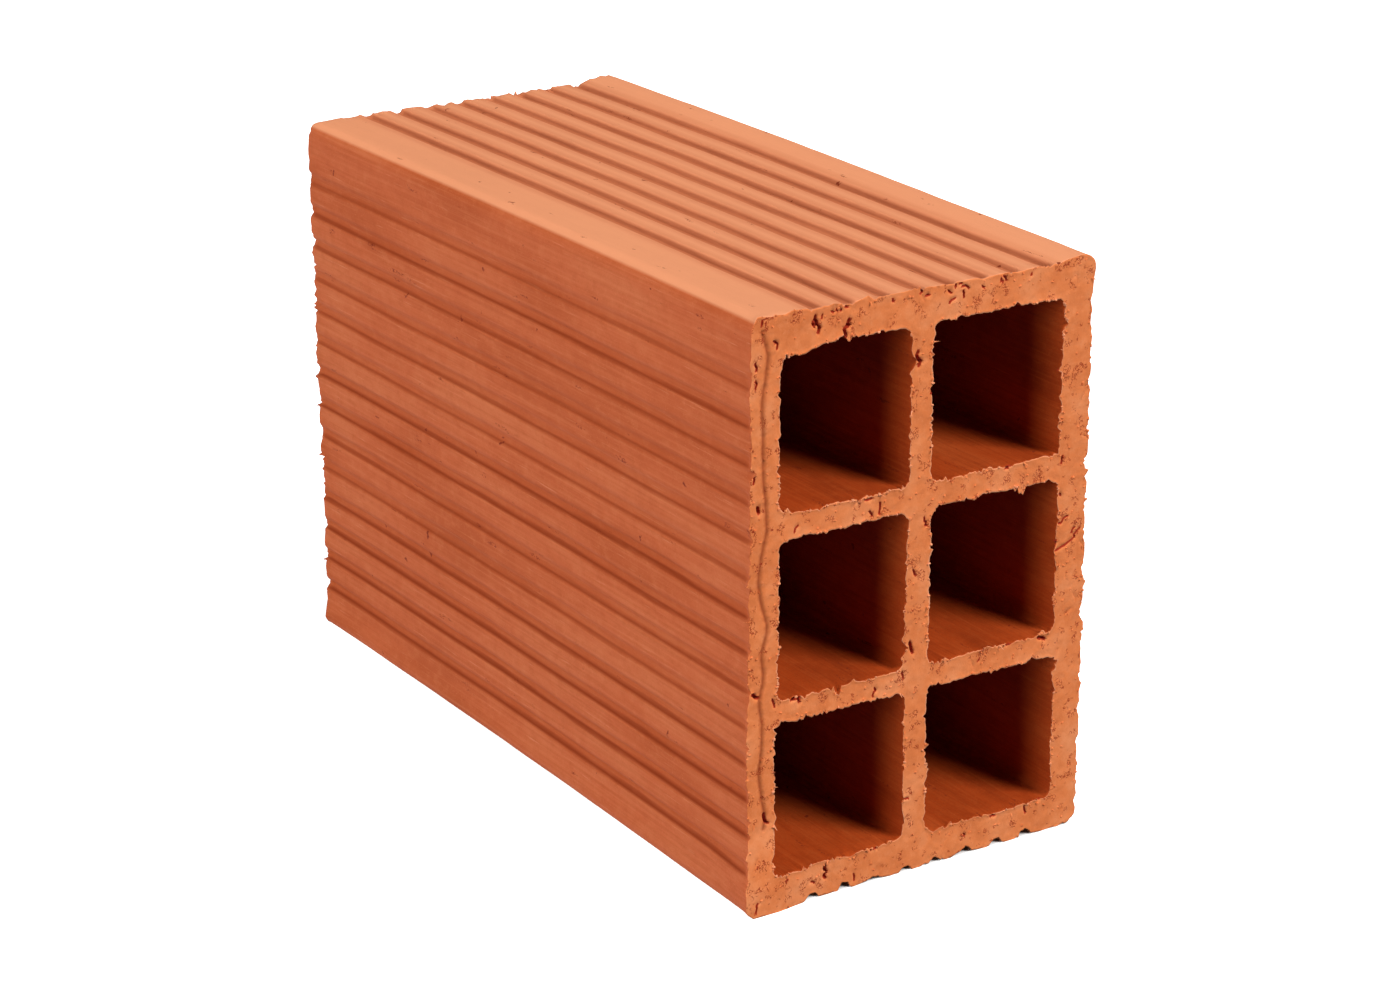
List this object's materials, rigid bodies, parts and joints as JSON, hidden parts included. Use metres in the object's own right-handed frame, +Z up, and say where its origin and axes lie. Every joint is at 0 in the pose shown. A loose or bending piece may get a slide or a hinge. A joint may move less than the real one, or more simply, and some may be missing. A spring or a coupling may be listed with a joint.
{
  "type": "hollow clay brick",
  "caption": "Hollow fired clay brick with through cells in a grid and shallow key grooves on its four long faces.",
  "frame": {"origin": "middle of the bottom bed face, in the plane of its ribs", "axes": "+X along the cells, from one wire-cut end to the other; +Y across the width, away from the side next to the widest land of each bed face; +Z up"},
  "size_m": [0.225, 0.1, 0.15],
  "materials": {
    "fired_clay": "extruded and fired terracotta, matte, wire-cut at both ends"
  },
  "bodies": {
    "root": {"brick": "fired_clay"}
  },
  "joints": []
}
